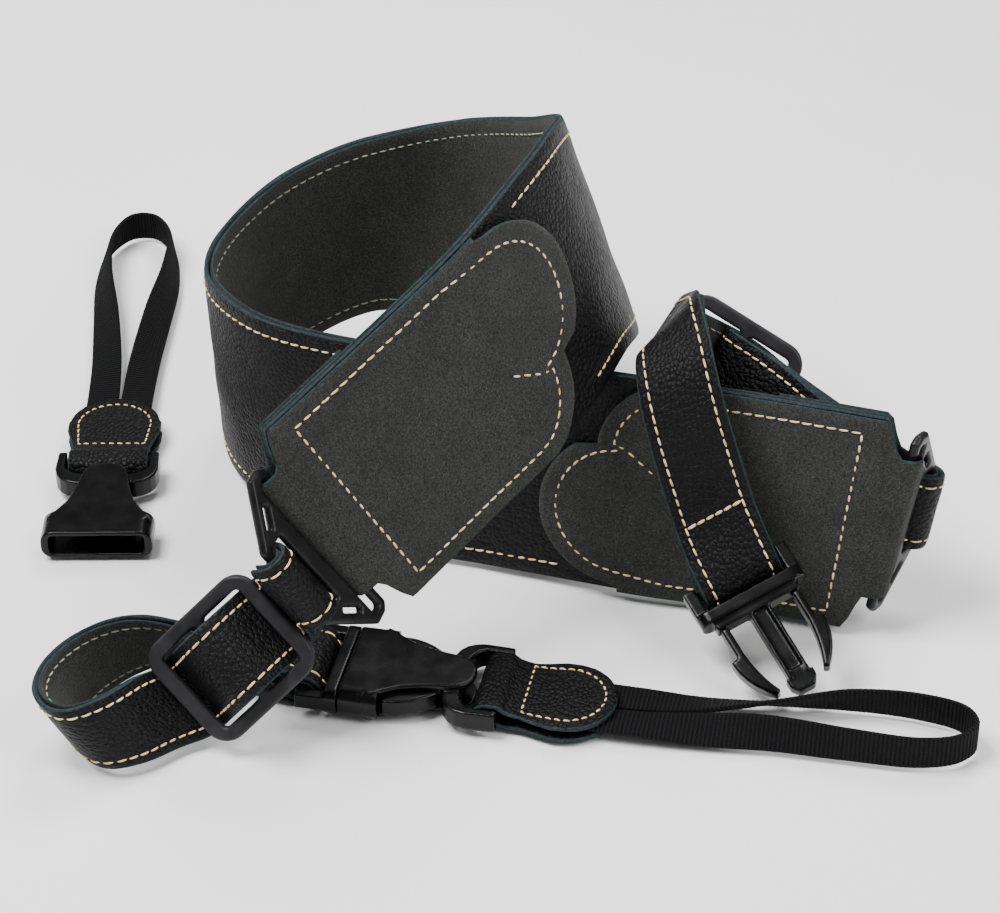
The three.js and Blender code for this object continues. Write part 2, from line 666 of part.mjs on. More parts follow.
// ---------------------------------------------------------------- female halves, tabs and loops
const tabMiddle = WEB.thick / 2 + GAP + TAB.thick / 2;
function tabStations() {
  const bend = BAR_WRAP + TAB.thick / 2;
  const profile = [
    [TAB.end, tabMiddle, 1], [66, tabMiddle, 1], [54, tabMiddle + 0.05, 1], [48, bend - 0.4, 0.6],
  ];
  const layer = (sign) => profile
    .map(([x, height, drop]) => [x, 0, sign * height - drop * WEB.drop, 0, 1, 0]);
  const bar = vec([TAB.barAt, 0, 0]);
  const turn = halfTurn(bar, vec([-1, 0, 0]), vec([0, 0, 1]), vec([0, 1, 0]), bend);
  return [...layer(1), ...turn, ...layer(-1).reverse()];
}
const tabCut = (column) => TAB.radius * (1 - Math.sqrt(Math.max(1 - column ** 2, 0)));
const tabShares = [0, 0.4, 0.7, 0.88, 0.97];
const tabColumns = [...tabShares.slice(1).reverse().map((c) => -c), ...tabShares];

// the clipped socket's mouth stands just ahead of the male half's collar
const MOUTH_A = plus(vec(MALE_A.at), [vec(MALE_A.ahead), BUCKLE.flange + GAP]).toArray();
const LOOPS = {
  a: {
    female: { ...MALE_A, at: MOUTH_A },
    route: [
      [WEB.from, -WEB.lane, -WEB.drop, 0, 1, 0],
      [70, -WEB.lane, -WEB.drop, 0, 1, 0],
      [84, -5.5, -WEB.drop, 0, 1, 0.02],
      [102, -4.6, -1.4, 0, 0.92, 0.4],
      [123, -4, 0.2, 0, 0.55, 0.84],
      [145, -5, 0.7, 0, 0.2, 0.98],
      [166, -4.6, 0.8, 0, 0.05, 1],
      [176.5, -0.5, 0.8, 0, 0, 1],
      [180.5, 6, 0.8, 0, 0, 1],
      [177, 12.4, 0.8, 0, -0.05, 1],
      [164, 15.6, 0.8, 0, -0.1, 1],
      [144, 14.6, 0.8, 0, -0.3, 0.95],
      [124, 10.2, 0, 0, -0.72, 0.69],
      [102, 6.4, -1.4, 0, -0.95, 0.3],
      [84, 5.5, -WEB.drop, 0, -1, 0.02],
      [70, WEB.lane, -WEB.drop, 0, -1, 0],
      [WEB.from, WEB.lane, -WEB.drop, 0, -1, 0],
    ],
  },
  b: {
    female: FEMALE_B,
    route: [
      [WEB.from, -WEB.lane, -WEB.drop, 0, 1, 0],
      [70, -WEB.lane, -WEB.drop, 0, 1, 0],
      [84, -5.6, -WEB.drop, 0, 1, 0.02],
      [106, -6.4, -1.3, 0, 0.97, 0.25],
      [133, -8.6, -0.5, 0, 0.86, 0.5],
      [159, -11.2, 0.6, 0, 0.45, 0.9],
      [179, -9.5, 0.8, 0, 0.1, 1],
      [189.5, -3, 0.8, 0, 0.05, 1],
      [189.5, 4.5, 0.8, 0, -0.05, 1],
      [178, 11, 0.8, 0, -0.25, 0.97],
      [159, 12.2, 0.4, 0, -0.5, 0.87],
      [131, 9, -0.6, 0, -0.84, 0.54],
      [104, 6.4, -1.5, 0, -0.97, 0.25],
      [84, 5.6, -WEB.drop, 0, -1, 0.02],
      [70, WEB.lane, -WEB.drop, 0, -1, 0],
      [WEB.from, WEB.lane, -WEB.drop, 0, -1, 0],
    ],
  },
};
for (const [name, loop] of Object.entries(LOOPS)) {
  const group = place(vec(loop.female.at), vec(loop.female.ahead), vec(loop.female.bar));
  add(`female_buckle_${name}`, femaleGeometry(), 'plastic', group);
  const tab = new Route(tabStations());
  const tabHalf = (d) => {
    const fromEnd = Math.min(d, tab.length - d);
    const share = Math.min(Math.max((fromEnd - 17) / 9, 0), 1);
    return TAB.radius + (TAB.half - TAB.radius) * share;
  };
  add(`tab_${name}`, sheet(tab, {
    low: -TAB.thick / 2,
    high: TAB.thick / 2,
    half: tabHalf,
    columns: tabColumns,
    startCut: tabCut,
    endCut: tabCut,
  }), 'leather', group);
  const inner = TAB.radius - 3.2;
  const round = [-3, -2, -1, 0, 1, 2, 3].map((k) => {
    const angle = k * Math.PI / 6.4;
    return [TAB.radius - inner * Math.cos(angle), inner * Math.sin(angle)];
  });
  const tabOutline = [...round, [26, inner * 0.9], [26, -inner * 0.9]];
  add(`tab_thread_${name}`, seam(tab, tabOutline, -TAB.thick / 2, true), 'thread', group);
  const webbing = new Route(loop.route);
  const band = { low: -WEB.thick / 2, high: WEB.thick / 2, half: () => WEB.width / 2 };
  add(`webbing_${name}`, sheet(webbing, band), 'webbing', group);
}

// the origin lies under the middle of the whole object, at its lowest point
const bounds = new THREE.Box3().setFromObject(laid, true);
const middle = bounds.getCenter(new THREE.Vector3());
laid.position.set(-middle.x, -middle.y, -bounds.min.z);

export default harness;
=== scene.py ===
"""A leather neck harness for field glasses, lying curled on a pale floor."""

import json
import math

import bpy
import numpy as np
from mathutils import Euler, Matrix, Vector, noise


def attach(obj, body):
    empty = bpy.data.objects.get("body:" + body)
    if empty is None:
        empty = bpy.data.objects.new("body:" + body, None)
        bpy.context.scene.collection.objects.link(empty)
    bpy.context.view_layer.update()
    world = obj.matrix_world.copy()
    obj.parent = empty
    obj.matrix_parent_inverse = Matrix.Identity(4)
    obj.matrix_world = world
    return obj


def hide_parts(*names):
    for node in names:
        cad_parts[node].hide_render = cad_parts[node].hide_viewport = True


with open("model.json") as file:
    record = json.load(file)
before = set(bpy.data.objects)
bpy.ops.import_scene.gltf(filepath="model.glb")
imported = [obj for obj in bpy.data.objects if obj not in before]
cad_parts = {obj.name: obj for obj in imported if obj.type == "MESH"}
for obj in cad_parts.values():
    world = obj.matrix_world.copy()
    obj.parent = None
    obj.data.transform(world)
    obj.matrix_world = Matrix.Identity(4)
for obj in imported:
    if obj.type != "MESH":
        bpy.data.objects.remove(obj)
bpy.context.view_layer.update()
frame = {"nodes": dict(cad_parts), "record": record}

# ---------------------------------------------------------------- sizes, in millimetres
LAY_SHIFT = np.array([2.9436, -12.8011, 0.9644])  # from the laying frame to the row's frame
MM = 0.001
GAP = 0.3  # between two layers
NECK = dict(width=70.0, leather=2.0, lining=1.6, patch=1.6, inset=5.0)
STRAP = dict(width=25.0, leather=1.8, lining=1.4, inset=3.2)
PATCH = dict(length=110.0, back=42.0, fold=23.6, square_from=8.5, fold_from=2.8, notch=-13.0,
             square_end=18.0)
LOBE = dict(at=85.0, aside=8.0, long=25.0, wide=25.0)  # the patch's end is two rounded lobes
LESSER = dict(at=68.0, aside=-12.0, long=25.0, wide=23.6)
RING_DEPTH = 17.4  # from the bar in the fold to the narrow strap's bar
TAB = dict(thick=2.0, end=78.5, radius=15.0, half=12.7, bar_at=42.3)
WEB = dict(width=10.4, thick=1.5, lane=5.6, start=57.0, drop=1.7)
MOUTH = 10.5  # the clipped socket's mouth, from the male half's bar
BAR_WRAP = 2.05  # from a bar's middle to the face of the strap round it
BAR_ROOM = 2.2  # more than that, between the fold's middle and the neck strap's end
STRAP_LOW = -(GAP / 2 + STRAP["lining"])
STRAP_HIGH = GAP / 2 + STRAP["leather"]
WRAP_EASE = 0.45  # easing the bends draws the strap in towards a bar by about this much
WRAP = BAR_WRAP - STRAP_LOW + WRAP_EASE
NECK_LOW = -(GAP / 2 + NECK["lining"])
NECK_HIGH = GAP / 2 + NECK["leather"]
PATCH_FRONT = NECK_HIGH + 1.6 * GAP + NECK["patch"] / 2
PATCH_BACK = NECK_LOW - GAP - NECK["patch"] / 2
FOLD_RADIUS = (PATCH_FRONT - PATCH_BACK) / 2
FOLD_HEIGHT = (PATCH_FRONT + PATCH_BACK) / 2
FOLD_INSET = 4.0  # from the end of the neck strap's route to the middle of the fold
PRESS = 0.1  # how far layers and stitches are pressed into each other
INNER_THICK = 0.28  # half the thickness of the inner face's thread
STRAP_EASE = 2.2  # how far a narrow strap's bends are evened out
EASE_STEP = 1.2  # spacing of the points that are evened out

# ---------------------------------------------------------------- routes
# Each station is the middle of the strap, then the direction across it.
NECK_ROUTE = [
    (-54.5, -100, 57.5, -40, -1, 57),
    (-24, -78, 78, -37, -1, 60),
    (4, -55, 96, -32, 2, 62),
    (23, -22, 105, -26, 6, 64),
    (28.5, 15, 92, -22, 6, 66),
    (17, 52, 71, -16, 13, 67),
    (-9, 77.5, 56, -5, 11, 68),
    (-44, 85, 49.5, 2, -9, 69.5),
    (-76, 66, 41, 2, -5, 69),
    (-88.5, 27, 37, -3, -4, 70),
    (-73, -2, 36.5, -2, -1, 70),
    (-38, -21, 36, 2, 5, 70),
    (2, -31, 36, 3, 10, 69),
    (41, -42, 36, 2, 13, 69),
    (80, -52, 36, 4, 10, 69),
    (119, -64, 36, 13, 6, 68),
]
LOOP_A = [
    (-96.5, -118.5, 11.8, 0.50, -0.22, -0.84),
    (-105.5, -128, 13.3, 0.47, -0.08, -0.88),
    (-115.5, -132, 13.6, 0.47, 0.05, -0.88),
    (-123.2, -125.5, 13.8, 0.45, 0.10, -0.89),
    (-124, -113, 13.9, 0.38, 0.12, -0.92),
    (-117, -99, 13.8, 0.25, 0.15, -0.95),
    (-106, -90, 13.5, 0.10, 0.25, -0.96),
    (-91.5, -86.5, 12.4, 0.10, 0.52, -0.85),
    (-77, -86, 11.4, 0.15, 0.80, -0.58),
    (-65, -87.6, 9.4, 0.19, 0.96, -0.22),
]
LOOP_B = [
    (51.5, -21.5, 78.5, 0.55, 0.34, 0.76),
    (50.5, -31, 85, 0.68, 0.42, 0.60),
    (49.5, -39, 86.5, 0.78, 0.43, 0.45),
    (50, -47, 84, 0.84, 0.30, 0.45),
    (51.5, -53.5, 77.5, 0.86, 0.20, 0.47),
    (54.5, -58, 66.5, 0.87, 0.14, 0.48),
    (58.5, -61, 53.5, 0.87, 0.12, 0.48),
    (62.8, -64.5, 40.5, 0.87, 0.14, 0.47),
]
TAIL_A = [(-61, -88, 2.05, 0.202, 0.979, 0), (-69, -86.4, 2.3, 0.20, 0.98, -0.04)]
TAIL_B = [
    (65.6, -64.6, 32, 0.87, 0.22, 0.44),
    (62.4, -61.2, 40.8, 0.87, 0.14, 0.47),
    (58.7, -57.8, 52.8, 0.87, 0.12, 0.48),
]
WEB_A = [
    (84, -5.5, -WEB["drop"], 0, 1, 0.02),
    (102, -4.6, -1.4, 0, 0.92, 0.4),
    (123, -4, 0.2, 0, 0.55, 0.84),
    (145, -5, 0.7, 0, 0.2, 0.98),
    (166, -4.6, 0.8, 0, 0.05, 1),
    (176.5, -0.5, 0.8, 0, 0, 1),
    (180.5, 6, 0.8, 0, 0, 1),
    (177, 12.4, 0.8, 0, -0.05, 1),
    (164, 15.6, 0.8, 0, -0.1, 1),
    (144, 14.6, 0.8, 0, -0.3, 0.95),
    (124, 10.2, 0, 0, -0.72, 0.69),
    (102, 6.4, -1.4, 0, -0.95, 0.3),
    (84, 5.5, -WEB["drop"], 0, -1, 0.02),
]
WEB_B = [
    (84, -5.6, -WEB["drop"], 0, 1, 0.02),
    (106, -6.4, -1.3, 0, 0.97, 0.25),
    (133, -8.6, -0.5, 0, 0.86, 0.5),
    (159, -11.2, 0.6, 0, 0.45, 0.9),
    (179, -9.5, 0.8, 0, 0.1, 1),
    (189.5, -3, 0.8, 0, 0.05, 1),
    (189.5, 4.5, 0.8, 0, -0.05, 1),
    (178, 11, 0.8, 0, -0.25, 0.97),
    (159, 12.2, 0.4, 0, -0.5, 0.87),
    (131, 9, -0.6, 0, -0.84, 0.54),
    (104, 6.4, -1.5, 0, -0.97, 0.25),
    (84, 5.6, -WEB["drop"], 0, -1, 0.02),
]
SLIDE_A = dict(at=(-75.5, -113.2, 26.8), across=(0.68, -0.42, -0.60), to_ring=(0.70, 0.18, 0.69))
SLIDE_B = dict(at=(67, -16, 59), across=(0.52, 0.35, 0.78), to_ring=(0.83, -0.38, -0.41))
RING_OUT = dict(a=(-0.42, -0.86, -0.16), b=(0.5, 0.8, -0.33))
RING_SLIP = dict(a=-2.8, b=0.0)
MALE_A = dict(at=(-53.7, -89.5, 5.2), ahead=(0.979, -0.202, 0), bar=(0.202, 0.979, 0))
MALE_B = dict(at=(69.6, -71, 23.6), bar=(0.88, 0.36, 0.31))
STRAP_B_DOWN = (0.28, -0.38, -0.88)
FEMALE_B = dict(at=(-124, -31, 5.2), ahead=(-0.012, 1, 0), bar=(-1, -0.012, 0))


# ---------------------------------------------------------------- vectors
def vec(p):
    return np.array(p[:3], float)


def unit(v):
    v = np.asarray(v, float)
    return v / np.linalg.norm(v)


def square(v, axis):
    v = np.asarray(v, float)
    return unit(v - axis * v.dot(axis))


def station(at, across):
    return (*at, *across)


# ---------------------------------------------------------------- a bent strap
class Spline:
    """A centripetal Catmull-Rom curve through a list of points."""

    def __init__(self, points):
        p = np.array(points, float)
        self.p = np.vstack([2 * p[0] - p[1], p, 2 * p[-1] - p[-2]])
        self.spans = len(p) - 1

    def at(self, t):
        place = np.clip(np.asarray(t, float), 0, 1) * self.spans
        k = np.minimum(place.astype(int), self.spans - 1)
        w = (place - k)[:, None]
        p0, p1, p2, p3 = (self.p[k + j] for j in range(4))
        gap = [np.sqrt(np.linalg.norm(b - a, axis=1)) for a, b in ((p0, p1), (p1, p2), (p2, p3))]
        middle = np.where(gap[1] < 1e-4, 1.0, gap[1])
        first = np.where(gap[0] < 1e-4, middle, gap[0])[:, None]
        third = np.where(gap[2] < 1e-4, middle, gap[2])[:, None]
        middle = middle[:, None]
        t1 = ((p1 - p0) / first - (p2 - p0) / (first + middle) + (p2 - p1) / middle) * middle
        t2 = ((p2 - p1) / middle - (p3 - p1) / (middle + third) + (p3 - p2) / third) * middle
        return p1 + t1 * w + (3 * (p2 - p1) - 2 * t1 - t2) * w**2 + (2 * (p1 - p2) + t1 + t2) * w**3


def softened_line(points, spacing, reach):
    """Points at even spacing, averaged with their neighbours within about `reach`; the ends stay."""
    count = len(points)
    places = np.arange(count)
    weights = np.exp(-0.5 * ((places[:, None] - places[None, :]) * spacing / reach) ** 2)
    held = np.minimum(places, count - 1 - places) * spacing / (2 * reach)
    smooth = weights @ points / weights.sum(axis=1)[:, None]
    share = np.clip(held, 0, 1)[:, None]
    return smooth * share + points * (1 - share)


class Route:
    """The middle line of a strap, measured by distance along it."""

    def __init__(self, stations, soften=0.0):
        self.least_sine = 1.0 if soften else 0.5  # limits the width where the strap runs askew
        if soften:
            rough = Route(stations)
            places = np.linspace(0, rough.length, int(rough.length / EASE_STEP) + 1)
            at, _, across, _ = rough.frame(places)
            at = softened_line(at, EASE_STEP, soften)
            across = softened_line(across, EASE_STEP, 2 * soften)
            stations = [station(a, c) for a, c in zip(at, across)]
        self.centre = Spline([s[:3] for s in stations])
        self.cross = Spline([unit(s[3:]) for s in stations])
        self.shares = np.linspace(0, 1, 24 * (len(stations) - 1) + 1)
        steps = np.linalg.norm(np.diff(self.centre.at(self.shares), axis=0), axis=1)
        self.table = np.concatenate([[0], np.cumsum(steps)])
        self.length = self.table[-1]

    def frame(self, distance):
        """Middle, direction along, direction across and the outer face's direction."""
        d = np.atleast_1d(np.asarray(distance, float))
        t = np.interp(d, self.table, self.shares)
        small = 1e-4
        along = self.centre.at(t + small) - self.centre.at(t - small)
        along /= np.linalg.norm(along, axis=1)[:, None]
        across = self.cross.at(t)
        across /= np.linalg.norm(across, axis=1)[:, None]
        out = np.cross(along, across)
        sine = np.linalg.norm(out, axis=1)[:, None]
        return self.centre.at(t), along, across / np.maximum(sine, self.least_sine), out / sine

    def point(self, distance, aside, height):
        at, _, across, out = self.frame(distance)
        return at + across * np.atleast_1d(aside)[:, None] + out * np.atleast_1d(height)[:, None]

    def nearest(self, target):
        d = np.arange(0, self.length, 0.5)
        return d[np.argmin(np.linalg.norm(self.point(d, 0 * d, 0 * d) - target, axis=1))]


def basis(at, x_way, y_way):
    """A function that takes points from a part's own frame to the laying frame."""
    x = unit(x_way)
    y = square(y_way, x)
    turn = np.stack([x, y, np.cross(x, y)])
    return lambda points: np.asarray(points) @ turn + vec(at)


def same(points):
    return points


def to_row(points):
    return (np.asarray(points) + LAY_SHIFT) * MM


# ---------------------------------------------------------------- meshes
def new_mesh(name, points, faces, materials, slots=None, lay=None, smooth=True):
    """An object from points and faces; lay is each point's place on the flat sheet."""
    mesh = bpy.data.meshes.new(name)
    mesh.from_pydata([tuple(p) for p in points], [], faces)
    for m in materials:
        mesh.materials.append(m)
    if slots is not None:
        mesh.polygons.foreach_set("material_index", np.asarray(slots, np.int32))
    if lay is not None:
        attribute = mesh.attributes.new("lay", "FLOAT_VECTOR", "POINT")
        attribute.data.foreach_set("vector", (np.asarray(lay, np.float32) * MM).ravel())
    mesh.polygons.foreach_set("use_smooth", np.full(len(mesh.polygons), smooth))
    mesh.update()
    piece = bpy.data.objects.new(name, mesh)
    bpy.context.scene.collection.objects.link(piece)
    return piece


def wrinkles(points, size, height):
    """Gentle unevenness of a hide, from noise in space."""
    return height * np.array([noise.noise(Vector(p) / size) for p in points])


def soft_sheet(name, route, low, high, half, materials, to_lay=same, start=0.0, end=None, step=2.0,
               columns=24, rim=0.45, start_cut=None, end_cut=None, reach=30.0, relief=None):
    """A closed sheet with a rounded rim; materials are those of the front, the back and the rim.

    The cuts say how far an end is set back at each share of the width, faded out over `reach`.
    """
    end = route.length if end is None else end
    count = max(int((end - start) / step), 8)
    rows = np.linspace(start, end, count + 1)
    shares = np.linspace(-1, 1, columns + 1)
    turn = np.radians([30, 60, 90, 120, 150])
    tops = [(c, 0.0, 1.0, 0) for c in shares]
    right = [(1.0, math.sin(a), math.cos(a), 2) for a in turn]
    backs = [(c, 0.0, -1.0, 1) for c in shares[::-1]]
    left = [(-1.0, -math.sin(a), math.cos(a), 2) for a in turn[::-1]]
    section = tops + right + backs + left
    c = np.array([s[0] for s in section])
    push = np.array([s[1] for s in section])
    up = np.array([s[2] for s in section])
    n = len(section)
    d0 = np.repeat(rows, n)
    column = np.tile(c, len(rows))
    at_start = np.maximum(1 - (d0 - start) / reach, 0)
    at_end = np.maximum(1 - (end - d0) / reach, 0)
    d = d0.copy()
    if start_cut is not None:
        d += start_cut(column) * at_start
    if end_cut is not None:
        d -= end_cut(column) * at_end
    wide = half(d)
    aside = column * (wide - rim) + np.tile(push, len(rows)) * rim
    height = (low + high) / 2 + np.tile(up, len(rows)) * (high - low) / 2
    if relief is not None:
        height = height + np.tile(up, len(rows)) * relief(d, aside, wide)
    points = to_lay(route.point(d, aside, height))
    faces = []
    slots = []
    last = len(rows) - 1
    kind = [s[3] for s in section]
    for i in range(last):
        for j in range(n):
            k = (j + 1) % n
            faces.append((i * n + j, (i + 1) * n + j, (i + 1) * n + k, i * n + k))
            slots.append(kind[j] if kind[j] == kind[k] else 2)
    m = columns + 1
    half_rim = len(turn)
    for row, flip in ((0, False), (last, True)):
        base = row * n
        below = base + m + half_rim + m - 1  # the back's point under the front's first
        for j in range(columns):
            quad = (base + j, base + j + 1, below - j - 1, below - j)
            faces.append(quad[::-1] if flip else quad)
            slots.append(2)
        right_fan = [base + m - 1 + j for j in range(half_rim + 2)]
        left_fan = [below + j for j in range(half_rim + 1)] + [base]
        for fan in (right_fan, left_fan):
            faces.append(tuple(fan[::-1] if flip else fan))
            slots.append(2)
    lay = np.stack([d, aside, height], axis=1)
    return new_mesh(name, to_row(points), faces, materials, slots, lay)


STITCH_STEPS = 6
STITCH_SIDES = 6
STITCH_SLANT = 0.18  # how far a stitch crosses its row, in mm
STITCH_DIP = 0.9  # how deep its ends go, in half thicknesses
STITCH_RISE = 1.25  # how far its middle stands above them
STITCH_TIP = 0.72  # its ends' thickness as a share of its middle's
STITCH_FLAT = 0.9  # its section is pressed to this share of its height


def stitch_rows(name, route, outlines, height, material, to_lay=same, pitch=3.3, long=2.6,
                thick=0.33):
    """Separate stitches along outlines of (distance, aside), each dipping into the leather."""
    side = 1 if height > 0 else -1
    points = []
    faces = []
    steps = STITCH_STEPS
    sides = STITCH_SIDES
    for outline in outlines:
        path = np.array(outline, float)
        run = np.concatenate([[0], np.cumsum(np.linalg.norm(np.diff(path, axis=0), axis=1))])
        stitches = max(int(run[-1] / pitch), 1)
        spacing = run[-1] / stitches
        for k in range(stitches):
            first = k * spacing + (spacing - long) / 2
            u = np.linspace(0, 1, steps + 1)
            s = first + u * long
            slant = STITCH_SLANT * (u - 0.5)
            d = np.interp(s, run, path[:, 0])
            a = np.interp(s, run, path[:, 1])
            ends = (first, first + long)
            way = np.array([np.diff(np.interp(ends, run, path[:, axis]))[0] for axis in (0, 1)])
            way /= max(np.linalg.norm(way), 1e-6)
            lift = -STITCH_DIP + STITCH_RISE * np.sin(np.pi * u) ** 0.6
            radius = thick * (STITCH_TIP + (1 - STITCH_TIP) * np.sin(np.pi * u))
            base = len(points)
            for j in range(steps + 1):
                for q in range(sides):
                    angle = 2 * math.pi * q / sides
                    w = radius[j] * math.cos(angle) + slant[j]
                    h = side * (thick * lift[j] + radius[j] * math.sin(angle)) * STITCH_FLAT
                    points.append((d[j] - way[1] * w, a[j] + way[0] * w, height + h))
            for j in range(steps):
                for q in range(sides):
                    r = (q + 1) % sides
                    quad = (base + j * sides + q, base + j * sides + r,
                            base + (j + 1) * sides + r, base + (j + 1) * sides + q)
                    faces.append(quad if side > 0 else quad[::-1])
            cap = [base + q for q in range(sides)]
            tip = [base + steps * sides + q for q in range(sides)]
            faces.append(tuple(cap[::-1] if side > 0 else cap))
            faces.append(tuple(tip if side > 0 else tip[::-1]))
    p = np.array(points)
    placed = to_row(to_lay(route.point(p[:, 0], p[:, 1], p[:, 2])))
    return new_mesh(name, placed, faces, [material], lay=p)


# ---------------------------------------------------------------- materials
class Nodes:
    """A short way to write a material's node tree."""

    def __init__(self, name):
        self.material = bpy.data.materials.new(name)
        self.material.use_nodes = True
        self.tree = self.material.node_tree
        self.shader = self.tree.nodes["Principled BSDF"]

    def add(self, kind, inputs=None, **settings):
        node = self.tree.nodes.new(kind)
        for key, value in settings.items():
            setattr(node, key, value)
        for key, value in (inputs or {}).items():
            self.feed(node.inputs[key], value)
        return node

    def feed(self, socket, value):
        if isinstance(value, bpy.types.NodeSocket):
            self.tree.links.new(value, socket)
        else:
            socket.default_value = value

    def place(self):
        return self.add("ShaderNodeTexCoord").outputs["Object"]

    def lay(self):
        return self.add("ShaderNodeAttribute", attribute_name="lay").outputs["Vector"]

    def noise(self, scale, detail=3.0, rough=0.55):
        inputs = {"Vector": self.place(), "Scale": scale, "Detail": detail, "Roughness": rough}
        return self.add("ShaderNodeTexNoise", inputs).outputs["Fac"]

    def cells(self, scale, feature):
        """Distance from the middles of cells, or from the creases between, on the flat sheet."""
        node = self.add("ShaderNodeTexVoronoi", voronoi_dimensions="2D", feature=feature)
        self.feed(node.inputs["Vector"], self.lay())
        self.feed(node.inputs["Scale"], scale)
        return node.outputs["Distance"]

    def spread(self, value, low, high, to_low=0.0, to_high=1.0):
        inputs = {"Value": value, "From Min": low, "From Max": high,
                  "To Min": to_low, "To Max": to_high}
        return self.add("ShaderNodeMapRange", inputs).outputs["Result"]

    def math(self, operation, a, b=0.0):
        return self.add("ShaderNodeMath", {0: a, 1: b}, operation=operation).outputs[0]

    def mix(self, share, a, b):
        node = self.add("ShaderNodeMix", data_type="RGBA")
        self.feed(node.inputs[0], share)
        self.feed(node.inputs[6], a)
        self.feed(node.inputs[7], b)
        return node.outputs[2]

    def bump(self, height, distance, strength, normal=None):
        inputs = {"Height": height, "Distance": distance, "Strength": strength}
        if normal is not None:
            inputs["Normal"] = normal
        return self.add("ShaderNodeBump", inputs).outputs["Normal"]

    def finish(self, **sockets):
        for key, value in sockets.items():
            self.feed(self.shader.inputs[key.replace("_", " ")], value)
        return self.material


def rgb(red, green, blue):
    """A colour given as it looks on a screen, from 0 to 255."""
    shares = [c / 255 for c in (red, green, blue)]
    linear = [((c + 0.055) / 1.055) ** 2.4 if c > 10 / 255 else c / 12.92 for c in shares]
    return (*linear, 1.0)


def leather():
    """Black grained hide with a soft sheen: pebbles over a millimetre wide, with fine creases, darkened
    with painted shade.
    """
    n = Nodes("black_leather")
    pebble_scale = 680.0
    domes = n.spread(n.cells(pebble_scale, "F1"), 0.1, 0.8, 1.0, 0.0)
    creases = n.spread(n.cells(pebble_scale, "DISTANCE_TO_EDGE"), 0.0, 0.12)
    pebbles = n.math("ADD", n.math("MULTIPLY", domes, 0.7), n.math("MULTIPLY", creases, 0.3))
    fine = n.spread(n.cells(1900.0, "F1"), 0.0, 0.7, 1.0, 0.0)
    folds = n.noise(120.0, 4.0)
    soft = n.bump(folds, 0.0012, 0.5)
    grain = n.bump(n.math("ADD", pebbles, n.math("MULTIPLY", fine, 0.2)), 0.00045, 0.9, soft)
    colour = n.mix(n.spread(n.noise(45.0), 0.3, 0.7), rgb(6, 6, 7), rgb(12, 11, 13))
    # painted shade: the creases between the pebbles are darkened to near black
    colour = n.mix(creases, rgb(2, 2, 2), colour)
    rough = n.spread(n.noise(300.0), 0.3, 0.7, 0.42, 0.54)
    return n.finish(Base_Color=colour, Roughness=rough, Normal=grain, Specular_IOR_Level=0.15)


def suede():
    """Dark grey split leather: a mottled nap with pale flecks."""
    n = Nodes("grey_suede")
    mottle = n.spread(n.noise(75.0, 4.0), 0.32, 0.68)
    nap = n.noise(3200.0, 3.0, 0.7)
    colour = n.mix(mottle, rgb(42, 43, 41), rgb(56, 57, 55))
    colour = n.mix(n.spread(nap, 0.5, 0.78), colour, rgb(100, 101, 96))
    colour = n.mix(n.spread(n.noise(1500.0, 4.0, 0.7), 0.6, 0.36), colour, rgb(30, 31, 30))
    rough_nap = n.bump(n.noise(1400.0, 5.0, 0.75), 0.0006, 0.8)
    return n.finish(Base_Color=colour, Roughness=0.95, Normal=rough_nap, Sheen_Weight=0.08,
                    Sheen_Roughness=0.5, Specular_IOR_Level=0.08)


def cut_edge():
    """The cut side of dyed leather: blue-grey fibres in layers."""
    n = Nodes("cut_edge")
    layers = n.noise(1100.0, 3.0, 0.7)
    colour = n.mix(n.spread(layers, 0.3, 0.7), rgb(24, 31, 33), rgb(52, 62, 64))
    return n.finish(Base_Color=colour, Roughness=0.9, Normal=n.bump(layers, 0.0004, 0.8),
                    Specular_IOR_Level=0.1)


def thread():
    """Waxed cream thread with a twist."""
    n = Nodes("cream_thread")
    lay = n.add("ShaderNodeSeparateXYZ", {0: n.lay()})
    slanted = n.math("ADD", lay.outputs[0], n.math("MULTIPLY", lay.outputs[1], 0.9))
    twist = n.math("SINE", n.math("MULTIPLY", slanted, 7000.0))
    colour = n.mix(n.spread(n.noise(350.0), 0.35, 0.65), rgb(198, 176, 130), rgb(238, 222, 182))
    return n.finish(Base_Color=colour, Roughness=0.75, Normal=n.bump(twist, 0.00008, 0.6))


def grey_thread():
    """The same thread on the inner face, greyed by the nap."""
    n = Nodes("grey_thread")
    colour = n.mix(n.spread(n.noise(350.0), 0.35, 0.65), rgb(128, 126, 116), rgb(168, 164, 148))
    return n.finish(Base_Color=colour, Roughness=0.85, Normal=n.bump(n.noise(1500.0), 0.0001, 0.6))


def moulded(name, dark, pale, rough_low, rough_high, grain):
    """A moulded plastic: near-black, with a faint texture from the tool."""
    n = Nodes(name)
    colour = n.mix(n.spread(n.noise(160.0), 0.35, 0.65), dark, pale)
    rough = n.spread(n.noise(160.0), 0.3, 0.7, rough_low, rough_high)
    surface = n.bump(n.noise(2600.0, 2.0), grain, 0.5)
    return n.finish(Base_Color=colour, Roughness=rough, Normal=surface, Specular_IOR_Level=0.2)


def webbing_weave():
    """Black woven tape: ribs across it with fine threads along."""
    n = Nodes("black_webbing")
    lay = n.add("ShaderNodeSeparateXYZ", {0: n.lay()})
    ribs = n.math("SINE", n.math("MULTIPLY", lay.outputs[0], 2 * math.pi / 0.00125))
    threads = n.math("SINE", n.math("MULTIPLY", lay.outputs[1], 2 * math.pi / 0.0006))
    weave = n.math("ADD", ribs, n.math("MULTIPLY", threads, 0.3))
    colour = n.mix(n.spread(weave, -1.0, 1.0), rgb(4, 4, 4), rgb(22, 22, 24))
    fuzz = n.bump(n.noise(2400.0), 0.0001, 0.5)
    return n.finish(Base_Color=colour, Roughness=0.78, Normal=n.bump(weave, 0.00022, 1.0, fuzz),
                    Specular_IOR_Level=0.12)


